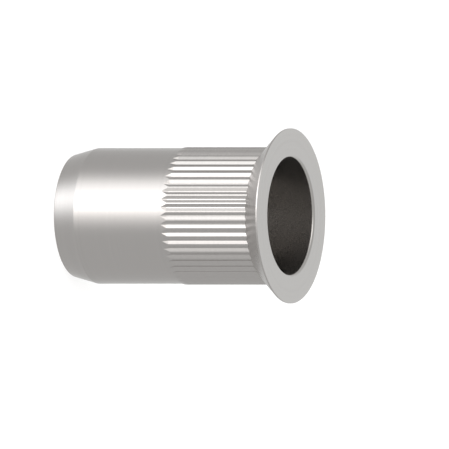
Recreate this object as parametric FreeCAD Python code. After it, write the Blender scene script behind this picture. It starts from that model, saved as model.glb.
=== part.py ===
import FreeCAD, Part
import math
import os

# A blind rivet nut for an M8 screw: countersunk head, straight knurl, open end.
# It is turned from one bar, and stands here on its threaded end.
# The end face lies on Z = 0, the axis is Z, and the flat face of the head is on top.
# Lengths are in millimetres and angles in degrees.

# Outside of the turned blank
OVERALL_LENGTH = 18.8
SHANK_DIAMETER = 11.0
HEAD_DIAMETER = 14.2
HEAD_RIM_HEIGHT = 0.12
HEAD_INCLUDED_ANGLE = 90.0
LEAD_LENGTH = 1.96
LEAD_HALF_ANGLE = 15.0
END_EDGE_RADIUS = 0.06

# Straight knurl, with its lengths measured down from the flat face of the head
KNURL_TEETH = 51
KNURL_RISE = 0.075
KNURL_TOOTH_DEPTH = 0.12
KNURL_CREST_WIDTH = 0.09
KNURL_ROOT_WIDTH = 0.095
KNURL_BAND_REACH = 9.18
KNURL_BAND_CHAMFER = 0.04
GROOVE_REACH = 8.68
GROOVE_RUNOUT_ANGLE = 14.5

# Inside: thin wall of the part that folds, then the threaded part
FOLDING_WALL = 0.745
COUNTERBORE_DEPTH = 9.6
COUNTERBORE_FLOOR_ANGLE = 118.0
MOUTH_EDGE_RADIUS = 0.21
THREAD_DIAMETER = 8.0
THREAD_PITCH = 1.25
THREAD_ENTRY_MARGIN = 0.15
THREAD_ENTRY_ANGLE = 90.0

# How much of the metric thread's diameter, in pitches, its minor diameter is short of
MINOR_DIAMETER_FACTOR = 1.0825
# How far a groove's cutter goes past the crests, as a share of the tooth depth
CUTTER_OVERRUN = 0.1
# How far cutting tools stand out past the faces that they cut through
TOOL_CLEARANCE = 1.0

# Heights along the axis
top = OVERALL_LENGTH
rim_foot = top - HEAD_RIM_HEIGHT
band_end = top - KNURL_BAND_REACH
band_foot = band_end - KNURL_BAND_CHAMFER
groove_end = top - GROOVE_REACH
counterbore_end = top - COUNTERBORE_DEPTH

# Radii about the axis
shank_radius = SHANK_DIAMETER / 2
head_radius = HEAD_DIAMETER / 2
crest_radius = shank_radius + KNURL_RISE
root_radius = crest_radius - KNURL_TOOTH_DEPTH
end_radius = shank_radius - LEAD_LENGTH * math.tan(math.radians(LEAD_HALF_ANGLE))
counterbore_radius = shank_radius - FOLDING_WALL
minor_radius = (THREAD_DIAMETER - MINOR_DIAMETER_FACTOR * THREAD_PITCH) / 2
entry_radius = THREAD_DIAMETER / 2 + THREAD_ENTRY_MARGIN


def cone_height(wide_radius, narrow_radius, included_angle):
    """Return the height over which a cone goes from one radius to the other."""
    return (wide_radius - narrow_radius) / math.tan(math.radians(included_angle / 2))


def rounding_arc(before, corner, after, radius):
    """Return the arc that rounds a corner between two straight sides of an outline."""
    back = (before - corner).normalize()
    onward = (after - corner).normalize()
    inward = (back + onward).normalize()
    half_angle = back.getAngle(onward) / 2
    tangent_length = radius / math.tan(half_angle)
    start = corner + back * tangent_length
    end = corner + onward * tangent_length
    middle = corner + inward * (radius / math.sin(half_angle) - radius)
    return Part.Arc(start, middle, end).toShape()


def turned(outline):
    """Turn an outline about Z. Each corner is (radius, height, rounding of the corner)."""
    corners = [FreeCAD.Vector(radius, 0, height) for radius, height, rounding in outline]
    roundings = [rounding for radius, height, rounding in outline]
    pieces = []
    for index, corner in enumerate(corners):
        if roundings[index]:
            before = corners[index - 1]
            after = corners[(index + 1) % len(corners)]
            pieces.append(rounding_arc(before, corner, after, roundings[index]))
        else:
            pieces.append(Part.Vertex(corner))
    edges = []
    for index, piece in enumerate(pieces):
        following = pieces[(index + 1) % len(pieces)]
        if piece.ShapeType == "Edge":
            edges.append(piece)
        edges.append(Part.makeLine(piece.Vertexes[-1].Point, following.Vertexes[0].Point))
    face = Part.Face(Part.Wire(edges))
    return face.revolve(FreeCAD.Vector(0, 0, 0), FreeCAD.Vector(0, 0, 1), 360)


def make_blank():
    """Return the solid shank, with the raised band that the knurl is cut in."""
    return turned([
        (0, 0, 0),
        (end_radius, 0, END_EDGE_RADIUS),
        (shank_radius, LEAD_LENGTH, 0),
        (shank_radius, band_foot, 0),
        (crest_radius, band_end, 0),
        (crest_radius, rim_foot, 0),
        (0, rim_foot, 0),
    ])


def groove_section(height, lift):
    """Return the groove's section at a height, moved out from the axis by lift.

    The section is a trapezium with its narrow side on the root, which goes on outwards
    with straight sides past the crests. The middle of the groove faces -Y.
    """
    half_opening = math.pi / KNURL_TEETH - KNURL_CREST_WIDTH / 2 / crest_radius
    root = (KNURL_ROOT_WIDTH / 2, root_radius)
    crest = (crest_radius * math.sin(half_opening), crest_radius * math.cos(half_opening))
    past_crest = [
        outer + (outer - inner) * CUTTER_OVERRUN for inner, outer in zip(root, crest)
    ]
    outside = (past_crest[0], crest_radius + TOOL_CLEARANCE)
    half = [root, past_crest, outside]
    points = [(across, out) for across, out in half]
    points += [(-across, out) for across, out in reversed(half)]
    points.append(points[0])
    return Part.makePolygon(
        [FreeCAD.Vector(across, -(out + lift), height) for across, out in points]
    )


def make_groove():
    """Return the cutter of one groove: straight to groove_end, then rising to its tip."""
    lift = KNURL_TOOTH_DEPTH * (1 + CUTTER_OVERRUN)
    runout_length = lift / math.tan(math.radians(GROOVE_RUNOUT_ANGLE))
    sections = [
        groove_section(top + TOOL_CLEARANCE, 0),
        groove_section(groove_end, 0),
        groove_section(groove_end - runout_length, lift),
    ]
    return Part.makeLoft(sections, True, True)


def make_grooves():
    """Return the cutters of all the grooves, evenly spaced round the shank."""
    first = make_groove()
    grooves = []
    for index in range(KNURL_TEETH):
        groove = first.copy()
        turn = 360 * index / KNURL_TEETH
        groove.rotate(FreeCAD.Vector(0, 0, 0), FreeCAD.Vector(0, 0, 1), turn)
        grooves.append(groove)
    return grooves


def make_head():
    """Return the countersunk head: a cone under a narrow rim."""
    cone_foot = rim_foot - cone_height(head_radius, counterbore_radius, HEAD_INCLUDED_ANGLE)
    return turned([
        (0, cone_foot, 0),
        (counterbore_radius, cone_foot, 0),
        (head_radius, rim_foot, 0),
        (head_radius, top, 0),
        (0, top, 0),
    ])


def make_bore():
    """Return the space inside: thread's core, drilled floor, counterbore and its mouth."""
    floor = cone_height(counterbore_radius, minor_radius, COUNTERBORE_FLOOR_ANGLE)
    entry = cone_height(entry_radius, minor_radius, THREAD_ENTRY_ANGLE)
    return turned([
        (0, 0, 0),
        (entry_radius, 0, 0),
        (minor_radius, entry, 0),
        (minor_radius, counterbore_end - floor, 0),
        (counterbore_radius, counterbore_end, 0),
        (counterbore_radius, top, MOUTH_EDGE_RADIUS),
        (head_radius, top, 0),
        (head_radius, top + TOOL_CLEARANCE, 0),
        (0, top + TOOL_CLEARANCE, 0),
    ])


def make_rivet_nut():
    """Return the whole nut: knurled shank and head, bored through."""
    knurled = make_blank().cut(make_grooves())
    body = knurled.fuse(make_head())
    return body.cut(make_bore()).removeSplitter()


rivet_nut = make_rivet_nut().Solids[0]
os.makedirs("parts", exist_ok=True)
rivet_nut.exportStep("parts/rivet_nut.step")

box = rivet_nut.BoundBox
print("rivet_nut", "valid" if rivet_nut.isValid() else "NOT valid")
print("size", round(box.XLength, 3), round(box.YLength, 3), round(box.ZLength, 3))
print("volume in cubic millimetres", round(rivet_nut.Volume, 2))
print("faces", len(rivet_nut.Faces))
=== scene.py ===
# %% [markdown]
# # A knurled rivet nut
# This nut is set blind, from one side of a thin panel: the knurled half of its tube folds up
# behind the panel, and the threaded half then holds a screw. It is one piece of stainless
# steel, turned from bar, pressed with a straight knurl, bored and tapped. The solid model
# fixes its size and place. This lesson gives it a surface that is fine enough for metal,
# where every small rounding catches the light, and then a finish, a floor, light and a camera.

# %% Load the solid model as a fixed frame
import math

import bpy
import numpy as np
from mathutils import Matrix, Vector


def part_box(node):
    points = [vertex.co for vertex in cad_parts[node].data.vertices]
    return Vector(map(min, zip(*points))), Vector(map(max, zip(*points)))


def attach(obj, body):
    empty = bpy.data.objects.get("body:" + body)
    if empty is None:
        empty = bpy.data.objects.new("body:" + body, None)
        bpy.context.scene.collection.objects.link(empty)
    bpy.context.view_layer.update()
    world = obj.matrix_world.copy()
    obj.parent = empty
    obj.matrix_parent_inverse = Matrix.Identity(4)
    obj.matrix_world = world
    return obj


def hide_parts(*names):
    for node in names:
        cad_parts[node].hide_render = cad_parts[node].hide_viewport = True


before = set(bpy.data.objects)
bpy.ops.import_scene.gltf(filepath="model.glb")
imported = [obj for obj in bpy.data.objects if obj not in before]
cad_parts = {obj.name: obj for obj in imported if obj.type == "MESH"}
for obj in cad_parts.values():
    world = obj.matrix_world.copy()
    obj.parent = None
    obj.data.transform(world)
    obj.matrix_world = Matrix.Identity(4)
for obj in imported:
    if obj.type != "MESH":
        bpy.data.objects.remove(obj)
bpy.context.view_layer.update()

# %% [markdown]
# ## The sizes of the nut
# A turned part is described by radii and heights. The overall length and the head's radius are
# read from the frame, and the others are the solid's own sizes in millimetres. Heights are
# counted from the threaded end, which stands on the floor, so a length that a drawing gives
# from the head's face is taken from the top.

# %% Sizes in millimetres
MM = 0.001
low_corner, high_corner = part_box("rivet_nut")
TOP = high_corner.z / MM
HEAD_RADIUS = (high_corner.x - low_corner.x) / 2 / MM
RIM_FOOT = TOP - 0.12

SHANK_RADIUS = 5.5
LEAD_LENGTH = 1.96
LEAD_ANGLE = math.radians(15)
LEAD_END_RADIUS = SHANK_RADIUS - LEAD_LENGTH * math.tan(LEAD_ANGLE)

COUNTERBORE_RADIUS = 4.755
COUNTERBORE_END = TOP - 9.6
DRILL_HALF_ANGLE = math.radians(59)
THREAD_PITCH = 1.25
THREAD_MAJOR_RADIUS = 4.0
# A metric thread is 1.0825 pitches narrower across its ridges than across its grooves
THREAD_MINOR_RADIUS = THREAD_MAJOR_RADIUS - 1.0825 * THREAD_PITCH / 2
THREAD_ENTRY_RADIUS = 4.15

# What a turning tool leaves on an edge that looks sharp
END_EDGE = 0.06
RIM_EDGE = 0.02
LEAD_EDGE = 0.05
MOUTH_EDGE = 0.21
print("length", round(TOP, 3), "head radius", round(HEAD_RADIUS, 3))

# %% [markdown]
# ## The sizes of the knurl
# The knurl is what grips the panel, so that the nut doesn't turn along with its screw. It is a
# ring of 51 straight teeth, each only as high as a hair is thick. The metal that the wheel
# presses out of the grooves makes the crests stand a little proud of the plain shank.

# %% Sizes of the knurl in millimetres
TEETH = 51
CREST_RADIUS = SHANK_RADIUS + 0.075
TOOTH_DEPTH = 0.12
ROOT_RADIUS = CREST_RADIUS - TOOTH_DEPTH
CREST_WIDTH = 0.09
ROOT_WIDTH = 0.095

# The crests begin at a short ledge, and the grooves run out a little way above it
CREST_END = TOP - 9.18
BAND_FOOT = CREST_END - 0.04
GROOVE_END = TOP - 8.68
RUNOUT_SLOPE = math.tan(math.radians(14.5))
print("teeth", TEETH, "one pitch", round(2 * math.pi * CREST_RADIUS / TEETH, 3))

# %% [markdown]
# ## Columns: angles round the axis
# The whole nut is one grid, bent into a ring. Columns go round the axis and rows go along the
# outline. A knurl could also be cut with booleans, but they leave its edges as ragged
# triangles. It is cleaner to put the columns exactly on the edges of each tooth, and one more
# halfway up each flank. The same six angles are repeated for every tooth.

# %% Angles of the columns, and the tooth's radius at each
def tooth_columns():
    """Return the angle and the tooth's radius of each column of the grid.

    In one pitch, counted from the middle of a groove, the radius is the root's on the root
    land, then rises in a straight line over the flank to the crest's on the crest land.
    """
    root_angle = ROOT_WIDTH / 2 / ROOT_RADIUS
    crest_angle = math.pi / TEETH - CREST_WIDTH / 2 / CREST_RADIUS
    half = np.array([root_angle, (root_angle + crest_angle) / 2, crest_angle])
    one_pitch = np.concatenate([-half[::-1], half])
    rise = (np.abs(one_pitch) - root_angle) / (crest_angle - root_angle)
    radius = ROOT_RADIUS + TOOTH_DEPTH * np.clip(rise, 0, 1)
    groove_middles = -math.pi / 2 + 2 * math.pi * np.arange(TEETH) / TEETH
    angles = (groove_middles[:, None] + one_pitch[None, :]).ravel()
    return angles, np.tile(radius, TEETH)


column_angle, tooth_radius = tooth_columns()
print("columns round the axis:", len(column_angle))

# %% [markdown]
# ## Rows: the turned outline
# Where the nut is simply turned, a row is a circle. An outline of straight sides with small
# arcs at its corners gives the radius and height of each one. Light finds those arcs: the thin
# white line along the mouth of the bore is one of them. A bevel modifier could add arcs too,
# but it would have to find its way through the knurl.
#
# Smooth shading spreads the turn of an arc over the faces next to it. Two more circles close to
# the ends of each straight side stop that, so the faces between them reflect as flat ones do.

# %% An outline with rounded corners
CLOSE = 0.02


def rounded_outline(corners, steps=4):
    """Return points (radius, height) along straight sides whose corners are rounded.

    Each corner is (radius, height, rounding). A rounding of r that turns by an angle a takes
    r * tan(a / 2) off both sides, and its arc is divided into equal steps. Each straight side
    also has a point close to each of its ends.
    """
    points = np.array([corner[:2] for corner in corners], float)
    arcs = [points[:1]]
    for before, corner, after, rounding in zip(
        points, points[1:], points[2:], [corner[2] for corner in corners[1:]]
    ):
        if rounding == 0:
            arcs.append(corner[None, :])
            continue
        back = (before - corner) / np.linalg.norm(before - corner)
        onward = (after - corner) / np.linalg.norm(after - corner)
        half_angle = math.acos(np.dot(back, onward)) / 2
        inward = (back + onward) / np.linalg.norm(back + onward)
        centre = corner + inward * rounding / math.sin(half_angle)
        start = corner + back * rounding / math.tan(half_angle) - centre
        end = corner + onward * rounding / math.tan(half_angle) - centre
        turn = math.pi - 2 * half_angle
        share = np.linspace(0, 1, steps + 1)[:, None]
        arc = (np.sin((1 - share) * turn) * start + np.sin(share * turn) * end) / math.sin(turn)
        arcs.append(centre + arc)
    arcs.append(points[-1:])
    outline = [arcs[0]]
    for before, after in zip(arcs, arcs[1:]):
        side = after[0] - before[-1]
        step = CLOSE * side / np.linalg.norm(side)
        outline.append(np.stack([before[-1] + step, after[0] - step]))
        outline.append(after)
    return np.concatenate(outline)


quarter = rounded_outline([(1, 0, 0), (1, 1, 0.5), (0, 1, 0)])
print("points of one rounded corner with its two sides:", len(quarter))


# %% Outline below the knurl
below_knurl = rounded_outline([
    (THREAD_ENTRY_RADIUS, 0, 0),
    (LEAD_END_RADIUS, 0, END_EDGE),
    (SHANK_RADIUS, LEAD_LENGTH, LEAD_EDGE),
    (SHANK_RADIUS, BAND_FOOT, 0),
])
print("rings below the knurl:", len(below_knurl))

# %% Outline from the head's rim down the counterbore
# The first corner only tells how the cone comes up to the rim, so its points are left out
head_and_counterbore = rounded_outline(
    [
        (HEAD_RADIUS - (RIM_FOOT - CREST_END) / 2, (RIM_FOOT + CREST_END) / 2, 0),
        (HEAD_RADIUS, RIM_FOOT, RIM_EDGE),
        (HEAD_RADIUS, TOP, RIM_EDGE),
        (COUNTERBORE_RADIUS, TOP, MOUTH_EDGE),
        (COUNTERBORE_RADIUS, COUNTERBORE_END, 0),
    ],
    steps=8,
)[2:]
print("rings from the rim to the counterbore's floor:", len(head_and_counterbore))

# %% [markdown]
# ## Rows: the knurl
# A wheel presses the grooves in. Each one is straight under the head, and rises to a point at
# its other end. So a point of the surface is on a crest or in a groove, whichever is lower. The
# rows follow the lines where the two meet, so each height below is a whole array, with one
# value for each column: the groove's tip comes lowest in the middle of the groove, and under
# the head the deep columns run up further before they meet the cone.

# %% Rows of the knurl
SHORT_STEP = 0.01


def groove_radius(height):
    """Return the radius of the grooves: the tooth's own, and rising past the straight part.

    Below the straight part the radius grows with the run-out slope times the distance.
    """
    return tooth_radius + RUNOUT_SLOPE * np.clip(GROOVE_END - height, 0, None)


tip_height = GROOVE_END - (CREST_RADIUS - tooth_radius) / RUNOUT_SLOPE
knurl_heights = np.stack([
    np.full_like(tooth_radius, CREST_END),
    np.minimum(tip_height, GROOVE_END - SHORT_STEP),
    np.full_like(tooth_radius, GROOVE_END),
    RIM_FOOT - (HEAD_RADIUS - tooth_radius),
])
knurl_radii = np.minimum(CREST_RADIUS, groove_radius(knurl_heights))
print("groove tips", round(float(tip_height.min()), 2), "mm above the threaded end")

# %% [markdown]
# ## Rows: the thread
# The thread lies deep in the nut, and shows only to a camera that looks steeply into the bore.
# Its radius depends on one thing: how far along the screw line a point is, which is its height
# less one pitch for each turn. That makes the thread a formula on the grid, with rows a small
# step apart. The entry cone and the drill's cone are cut too, and where several cuts overlap
# the widest one counts.

# %% Rows of the threaded hole
ROWS_PER_PITCH = 18


def thread_radius(height, angle):
    """Return the radius of a right-hand metric thread.

    The screw line's phase is height / pitch - angle / turn. From the middle of a ridge the
    radius is the minor one for an eighth of a pitch, then grows at 30 degrees to the level
    side of the ridge, up to the major one.
    """
    phase = height / THREAD_PITCH - angle / (2 * math.pi)
    from_ridge = np.abs(phase - np.round(phase)) * THREAD_PITCH
    rise = (from_ridge - THREAD_PITCH / 8) / math.tan(math.radians(30))
    return THREAD_MINOR_RADIUS + np.clip(rise, 0, THREAD_MAJOR_RADIUS - THREAD_MINOR_RADIUS)


drilled_depth = (COUNTERBORE_RADIUS - THREAD_MAJOR_RADIUS) / math.tan(DRILL_HALF_ANGLE)
thread_top = COUNTERBORE_END - drilled_depth
thread_rows = round(thread_top / THREAD_PITCH * ROWS_PER_PITCH)
thread_levels = np.linspace(thread_top, 0, thread_rows)[:-1]
thread_heights = np.repeat(thread_levels[:, None], len(column_angle), axis=1)
thread_radii = np.maximum.reduce([
    thread_radius(thread_heights, column_angle),
    THREAD_ENTRY_RADIUS - thread_heights,
    COUNTERBORE_RADIUS - (COUNTERBORE_END - thread_heights) * math.tan(DRILL_HALF_ANGLE),
])
print("rows in the thread:", len(thread_heights))

# %% [markdown]
# ## One closed surface
# The rows are stacked in order: over the end face, up the outside, over the head and down the
# bore, back to where they began. A ring of rings like this closes both ways, so it has no seam
# and no pole, and no modifier is needed. The volume worked out from its faces is above zero if
# they point outwards, and can be set against the solid's.

# %% Stack the rows and join them with faces
def as_rows(outline):
    """Return radius and height of each ring, repeated for every column."""
    ones = np.ones(len(column_angle))
    return outline[:, :1] * ones, outline[:, 1:] * ones


sections = [
    as_rows(below_knurl),
    (knurl_radii, knurl_heights),
    as_rows(head_and_counterbore),
    (thread_radii, thread_heights),
]
radii = np.concatenate([section[0] for section in sections])
heights = np.concatenate([section[1] for section in sections])
row_count, column_count = radii.shape
points = np.stack(
    [radii * np.cos(column_angle), radii * np.sin(column_angle), heights], axis=-1
).reshape(-1, 3)

index = np.arange(row_count * column_count).reshape(row_count, column_count)
next_row = np.roll(index, -1, axis=0)
faces = np.stack(
    [index, np.roll(index, -1, axis=1), np.roll(next_row, -1, axis=1), next_row], axis=-1
).reshape(-1, 4)
a, b, c, d = (points[faces[:, corner]] for corner in range(4))
six_volumes = (a * np.cross(b, c)).sum() + (a * np.cross(c, d)).sum()
print("faces", len(faces), "volume in cubic millimetres", round(float(six_volumes) / 6, 1))

# %% Put the surface in a mesh
mesh = bpy.data.meshes.new("knurled_rivet_nut")
mesh.from_pydata((points * MM).tolist(), [], faces.tolist())
mesh.shade_smooth()
nut = bpy.data.objects.new("knurled_rivet_nut", mesh)
bpy.context.scene.collection.objects.link(nut)
print(nut.name, "has", len(mesh.vertices), "vertices")

# %% [markdown]
# ## Crisp edges in the knurl
# The teeth are too small for arcs of their own: their edges are a few thousandths of a
# millimetre round. They are marked sharp instead, so each flank reflects as one flat strip.
# That is what makes the knurl glitter in white and grey lines. An edge counts as one of the
# knurl's if its two ends lie in the knurl's rows.

# %% Keep the knurl's edges crisp
CREASE_ANGLE = math.radians(5)
band_foot_row = len(below_knurl) - 1
cone_foot_row = band_foot_row + len(knurl_heights)

mesh.set_sharp_from_angle(angle=CREASE_ANGLE)
edge_ends = np.empty(2 * len(mesh.edges), dtype=np.int32)
mesh.edges.foreach_get("vertices", edge_ends)
edge_rows = edge_ends.reshape(-1, 2) // column_count
in_knurl = ((edge_rows >= band_foot_row) & (edge_rows <= cone_foot_row)).all(axis=1)
sharp = np.empty(len(mesh.edges), dtype=bool)
mesh.attributes["sharp_edge"].data.foreach_get("value", sharp)
mesh.attributes["sharp_edge"].data.foreach_set("value", sharp & in_knurl)
print("crisp edges in the knurl:", int((sharp & in_knurl).sum()))

# %% [markdown]
# ## The finish: turned stainless steel
# Stainless steel reflects about six tenths of the light, in a slightly warm grey. The turning
# tool leaves fine rings, and the pickling bath after it leaves a soft satin. So roughness does
# most of the work: it blurs the lights to soft-edged bands along the shank. The rings only just
# show, as faint circles on the head. They could be painted in an image, but a pattern worked
# out from the place on the nut has no seams and stays sharp at any distance.

# %% Colours, and one function that adds a node
def srgb(hex_colour):
    """Return the linear colour of an sRGB hex value, with full alpha."""
    channels = [int(hex_colour[i:i + 2], 16) / 255 for i in (1, 3, 5)]
    linear = [c / 12.92 if c <= 0.04045 else ((c + 0.055) / 1.055) ** 2.4 for c in channels]
    return (*linear, 1.0)


def add_node(tree, kind, inputs=None, **settings):
    """Add a node. Inputs are values, or output sockets to link, by the socket's name."""
    node = tree.nodes.new(kind)
    for name, value in settings.items():
        setattr(node, name, value)
    for name, value in (inputs or {}).items():
        if isinstance(value, bpy.types.NodeSocket):
            tree.links.new(value, node.inputs[name])
        else:
            node.inputs[name].default_value = value
    return node


print("the middle grey #808080 as linear light:", round(srgb("#808080")[0], 3))

# %% Values of the finish
# A warm grey metal, a little more yellow than chrome
STEEL_COLOUR = srgb("#CFCCCA")
# Satin: lights are bands with soft edges, and nothing is mirrored sharply
STEEL_ROUGHNESS = 0.22
# Handling and the bath leave some patches more matt than others
ROUGHNESS_RANGE = 0.03
PATCH_SIZE = 2.5
# The reamer leaves the bore a little rougher than the turned outside. Its colour is a lighter,
# warmer copy of the steel: painted light, standing for the light that bounces inside the bore
BORE_PAINTED_LIGHT_COLOUR = srgb("#D5D2CF")
BORE_ROUGHNESS = 0.25
# The cone under the head is cut with the whole side of a tool, which leaves it rougher too
CONE_ROUGHNESS = 0.28
# Rings of the turning tool. Real ones are about 0.1 mm apart, too fine to see in the picture,
# so they are drawn coarser
RING_SPACING = 0.25
RING_HEIGHT = 0.001
COLOUR_RANGE = 0.03
# The bore is what lies nearer to the axis than the middle of its rounded mouth
BORE_EDGE_RADIUS = COUNTERBORE_RADIUS + MOUTH_EDGE / 3
# The cone is what lies a little further out than the knurl, and below the rim
CONE_FOOT_RADIUS = CREST_RADIUS + 0.02
print("one ring of the turning tool:", RING_SPACING, "mm; one patch:", PATCH_SIZE, "mm")

# %% [markdown]
# ### Where a point is on the nut
# A point's distance from the axis and its height are the same all round a turned circle. So a
# flat noise of just these two numbers gives rings on every turned face: lines round the shank,
# and circles on the head. The two numbers also tell the bore and the cone from the rest.

# %% Place on the nut, and rings of the turning tool
def place_on_nut(tree):
    """Return a point's place, its distance from the axis and its height, in millimetres.

    The distance is the length of the place with its height taken out.
    """
    place = add_node(tree, "ShaderNodeTexCoord").outputs["Object"]
    in_mm = add_node(tree, "ShaderNodeVectorMath", {
        0: place,
        "Scale": 1 / MM,
    }, operation="SCALE").outputs["Vector"]
    sideways = add_node(tree, "ShaderNodeVectorMath", {
        0: in_mm,
        1: (1, 1, 0),
    }, operation="MULTIPLY").outputs["Vector"]
    radius = add_node(tree, "ShaderNodeVectorMath", {
        0: sideways,
    }, operation="LENGTH").outputs["Value"]
    height = add_node(tree, "ShaderNodeSeparateXYZ", {"Vector": in_mm}).outputs["Z"]
    return in_mm, radius, height


def turning_rings(tree, radius, height):
    """Return a noise from 0 to 1 that depends only on distance from the axis and height."""
    ring = add_node(tree, "ShaderNodeCombineXYZ", {"X": radius, "Y": height}).outputs["Vector"]
    return add_node(tree, "ShaderNodeTexNoise", {
        "Vector": ring,
        "Scale": 1 / RING_SPACING,
        "Detail": 1.0,
    }, noise_dimensions="2D").outputs["Fac"]


print("rings across the head's face:", round((HEAD_RADIUS - COUNTERBORE_RADIUS) / RING_SPACING))


# %% Turned stainless steel
def turned_stainless_steel():
    """Return the nut's material.

    The rings change the colour a little and raise the surface. The patches change the
    roughness. The bore is painted a lighter, warmer colour, as painted light for the light that
    bounces inside it, and the bore and the cone are each rougher than the rest, by the same
    amount all over.
    """
    material = bpy.data.materials.new("turned_stainless_steel")
    material.use_nodes = True
    tree = material.node_tree
    tree.nodes.clear()
    in_mm, radius, height = place_on_nut(tree)
    rings = turning_rings(tree, radius, height)
    patches = add_node(tree, "ShaderNodeTexNoise", {
        "Vector": in_mm,
        "Scale": 1 / PATCH_SIZE,
        "Detail": 2.0,
    }).outputs["Fac"]
    in_bore = add_node(tree, "ShaderNodeMath", {
        0: radius,
        1: BORE_EDGE_RADIUS,
    }, operation="LESS_THAN").outputs["Value"]
    past_knurl = add_node(tree, "ShaderNodeMath", {
        0: radius,
        1: CONE_FOOT_RADIUS,
    }, operation="GREATER_THAN").outputs["Value"]
    below_rim = add_node(tree, "ShaderNodeMath", {
        0: height,
        1: RIM_FOOT,
    }, operation="LESS_THAN").outputs["Value"]
    on_cone = add_node(tree, "ShaderNodeMath", {
        0: past_knurl,
        1: below_rim,
    }, operation="MULTIPLY").outputs["Value"]
    ringed = add_node(tree, "ShaderNodeMapRange", {
        "Value": rings,
        "To Min": 1 - COLOUR_RANGE,
        "To Max": 1 + COLOUR_RANGE,
    }).outputs["Result"]
    # Inside the bore the colour is lighter and warmer: painted light for the light bouncing in it
    steel = add_node(tree, "ShaderNodeVectorMath", {
        0: in_bore,
        1: Vector(BORE_PAINTED_LIGHT_COLOUR[:3]) - Vector(STEEL_COLOUR[:3]),
        2: STEEL_COLOUR[:3],
    }, operation="MULTIPLY_ADD").outputs["Vector"]
    colour = add_node(tree, "ShaderNodeVectorMath", {
        0: steel,
        "Scale": ringed,
    }, operation="SCALE").outputs["Vector"]
    patchy = add_node(tree, "ShaderNodeMapRange", {
        "Value": patches,
        "To Min": STEEL_ROUGHNESS - ROUGHNESS_RANGE,
        "To Max": STEEL_ROUGHNESS + ROUGHNESS_RANGE,
    }).outputs["Result"]
    with_cone = add_node(tree, "ShaderNodeMath", {
        0: on_cone,
        1: CONE_ROUGHNESS - STEEL_ROUGHNESS,
        2: patchy,
    }, operation="MULTIPLY_ADD").outputs["Value"]
    roughness = add_node(tree, "ShaderNodeMath", {
        0: in_bore,
        1: BORE_ROUGHNESS - STEEL_ROUGHNESS,
        2: with_cone,
    }, operation="MULTIPLY_ADD").outputs["Value"]
    bump = add_node(tree, "ShaderNodeBump", {
        "Height": rings,
        "Strength": 1.0,
        "Distance": RING_HEIGHT * MM,
    }).outputs["Normal"]
    surface = add_node(tree, "ShaderNodeBsdfPrincipled", {
        "Base Color": colour,
        "Metallic": 1.0,
        "Roughness": roughness,
        "Normal": bump,
    })
    add_node(tree, "ShaderNodeOutputMaterial", {"Surface": surface.outputs["BSDF"]})
    return material


mesh.materials.append(turned_stainless_steel())
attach(nut, "root")
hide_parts("rivet_nut")
print("material:", mesh.materials[0].name)

# %% [markdown]
# ## The floor
# A product photo of this kind is taken on a sheet of white card. The nut stands on it here, on
# its threaded end, while in the photo it lies on its side: that picture was turned so that the
# head points to the right. The light that shows along the shank comes from beside and below
# the nut as it stands, where the card is. So the card isn't mirrored in the steel and doesn't
# block the light, but it does take the nut's soft shadow. Its white comes from its own colour.
#
# The card lies a hundredth of a millimetre under the nut, as two faces in one plane flicker. A
# second card lies lower down, for a view so low that its lower part starts under the first.

# %% Floor
FLOOR_SIZE = 4.0
CARD_HEIGHTS = [-0.01 * MM, -50 * MM]
CARD_COLOUR = "#F8F8F8"
half = FLOOR_SIZE / 2
card_corners = [(-half, -half), (half, -half), (half, half), (-half, half)]
floor_mesh = bpy.data.meshes.new("pale_floor")
floor_mesh.from_pydata(
    [(x, y, height) for height in CARD_HEIGHTS for x, y in card_corners],
    [],
    [(0, 1, 2, 3), (4, 5, 6, 7)],
)
floor = bpy.data.objects.new("pale_floor", floor_mesh)
bpy.context.scene.collection.objects.link(floor)


def white_card():
    """Return the floor's material: matt white card, which is lit evenly and never shines."""
    material = bpy.data.materials.new("white_card")
    material.use_nodes = True
    tree = material.node_tree
    tree.nodes.clear()
    card = add_node(tree, "ShaderNodeBsdfDiffuse", {"Color": srgb(CARD_COLOUR)})
    add_node(tree, "ShaderNodeOutputMaterial", {"Surface": card.outputs["BSDF"]})
    return material


floor_mesh.materials.append(white_card())
floor.visible_glossy = False
floor.visible_shadow = False
print("floor", FLOOR_SIZE, "m wide, cards:", len(CARD_HEIGHTS))

# %% [markdown]
# ## The studio's lights
# Polished metal shows nothing but its surroundings, so the lights are drawn as surroundings:
# an even light grey room with soft bright areas. Area lamps could do it too, but then their
# square edges would show in the steel. Here each light is brightest in one direction, and
# fades as the cosine of the angle from it, raised to a power that says how sharp it is.
#
# One tall soft box stands to the left of the camera. It makes the white band along the shank
# and the white lines in the knurl, and its upper end makes the line along the bore's mouth.
# Weak lights behind the nut brighten the flat face of the head, the two edges of the shank and
# the cone.

# %% Values of the lights and the room
ROOM_COLOUR = "#C0C0BF"
LIGHTS = [
    # colour, degrees round from the camera's side, degrees up, sharpness, strength
    ("#FAFEFF", 180, 17, 8.5, 0.28),
    ("#FAFEFF", 175, -23, 8.5, 0.12),
    ("#FAFEFF", -146, 13, 39.0, 0.18),
    ("#FCFDFF", 37, -41, 13.0, 1.54),
    ("#FFFBF9", 19, -11, 25.0, 2.46),
    ("#FFFDFB", 52.5, -4.5, 23.0, 1.22),
    ("#FFFDFB", -6, -9, 45.0, 0.76),
    ("#FFFDFB", 30.5, 28, 23.5, 1.21),
    ("#FFFFFF", 180, -60, 8.0, 0.1),
]
print("lights in the studio:", len(LIGHTS))


# %% Direction of a light
def direction_of(around, up):
    """Return the unit vector at an angle round from -Y, towards -X, and an angle up."""
    around = math.radians(around)
    up = math.radians(up)
    level = math.cos(up)
    return Vector((-math.sin(around) * level, -math.cos(around) * level, math.sin(up)))


key = max(LIGHTS, key=lambda light: light[-1])
print("the strongest light comes from", [round(part, 2) for part in direction_of(key[1], key[2])])


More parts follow.
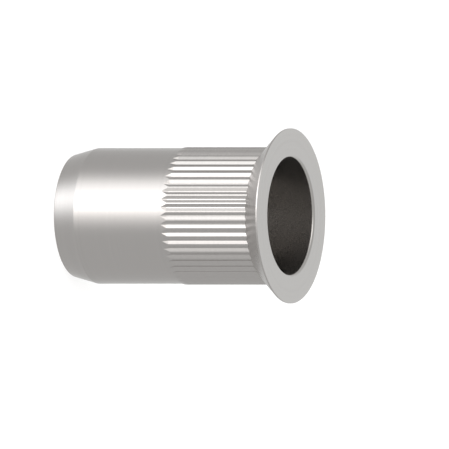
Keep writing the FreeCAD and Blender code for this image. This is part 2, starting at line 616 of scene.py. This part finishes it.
# %% The world
def studio_world():
    """Return the world: the room's level, plus strength * cosine ** sharpness of each light."""
    world = bpy.data.worlds.new("studio")
    world.use_nodes = True
    tree = world.node_tree
    tree.nodes.clear()
    view = add_node(tree, "ShaderNodeTexCoord").outputs["Generated"]
    total = srgb(ROOM_COLOUR)[:3]
    for colour, around, up, sharpness, strength in LIGHTS:
        cosine = add_node(tree, "ShaderNodeVectorMath", {
            0: view,
            1: direction_of(around, up),
        }, operation="DOT_PRODUCT").outputs["Value"]
        ahead = add_node(tree, "ShaderNodeMath", {
            0: cosine,
            1: 0.0,
        }, operation="MAXIMUM").outputs["Value"]
        falloff = add_node(tree, "ShaderNodeMath", {
            0: ahead,
            1: sharpness,
        }, operation="POWER").outputs["Value"]
        total = add_node(tree, "ShaderNodeVectorMath", {
            0: Vector(srgb(colour)[:3]) * strength,
            1: falloff,
            2: total,
        }, operation="MULTIPLY_ADD").outputs["Vector"]
    sky = add_node(tree, "ShaderNodeBackground", {"Color": total, "Strength": 1.0})
    add_node(tree, "ShaderNodeOutputWorld", {"Surface": sky.outputs["Background"]})
    return world


bpy.context.scene.world = studio_world()
print("world:", bpy.context.scene.world.name)

# %% [markdown]
# ## A lamp for the card
# The room alone leaves the card a light grey. A lamp from straight above brings it up to white.
# Steel doesn't show this lamp, as it is left out of its reflections, so it changes nothing in
# the light on the nut.

# %% Ceiling lamp
LAMP_STRENGTH = 1.9
lamp_data = bpy.data.lights.new("ceiling_lamp", "SUN")
lamp_data.energy = LAMP_STRENGTH
lamp_data.use_shadow = False
lamp = bpy.data.objects.new("ceiling_lamp", lamp_data)
lamp.visible_glossy = False
bpy.context.scene.collection.objects.link(lamp)
print("ceiling lamp", LAMP_STRENGTH, "watts per square metre")

# %% [markdown]
# ## The camera
# The picture has no perspective: both sides of the shank are parallel. The head's face is an
# ellipse about 0.39 times as wide as it is high, so the camera looks from 23.1 degrees above
# that face. It is turned on its side, with the nut's axis across the picture. The place of the
# face's centre in the picture, in pixels from its upper left corner, settles where it aims.

# %% Camera
PICTURE = 449
PIXELS_PER_MM = 12.34
ELEVATION = math.radians(23.1)
FACE_COLUMN = 291.1
FACE_ROW = 215.875
CAMERA_DISTANCE = 0.3

towards_camera = Vector((0, -math.cos(ELEVATION), math.sin(ELEVATION)))
picture_right = Vector((0, math.sin(ELEVATION), math.cos(ELEVATION)))
picture_up = Vector((-1, 0, 0))
face_centre = Vector((0, 0, TOP))
columns_right = (PICTURE / 2 - FACE_COLUMN) / PIXELS_PER_MM
rows_up = (FACE_ROW - PICTURE / 2) / PIXELS_PER_MM
aim = (face_centre + picture_right * columns_right + picture_up * rows_up) * MM

camera_data = bpy.data.cameras.new("camera")
camera_data.type = "ORTHO"
camera_data.ortho_scale = PICTURE / PIXELS_PER_MM * MM
camera = bpy.data.objects.new("camera", camera_data)
turn = Matrix((picture_right, picture_up, towards_camera)).transposed().to_4x4()
camera.matrix_world = Matrix.Translation(aim + towards_camera * CAMERA_DISTANCE) @ turn
bpy.context.scene.collection.objects.link(camera)
bpy.context.scene.camera = camera
bpy.context.scene.view_settings.view_transform = "Standard"
print("picture", round(camera_data.ortho_scale / MM, 2), "mm wide")
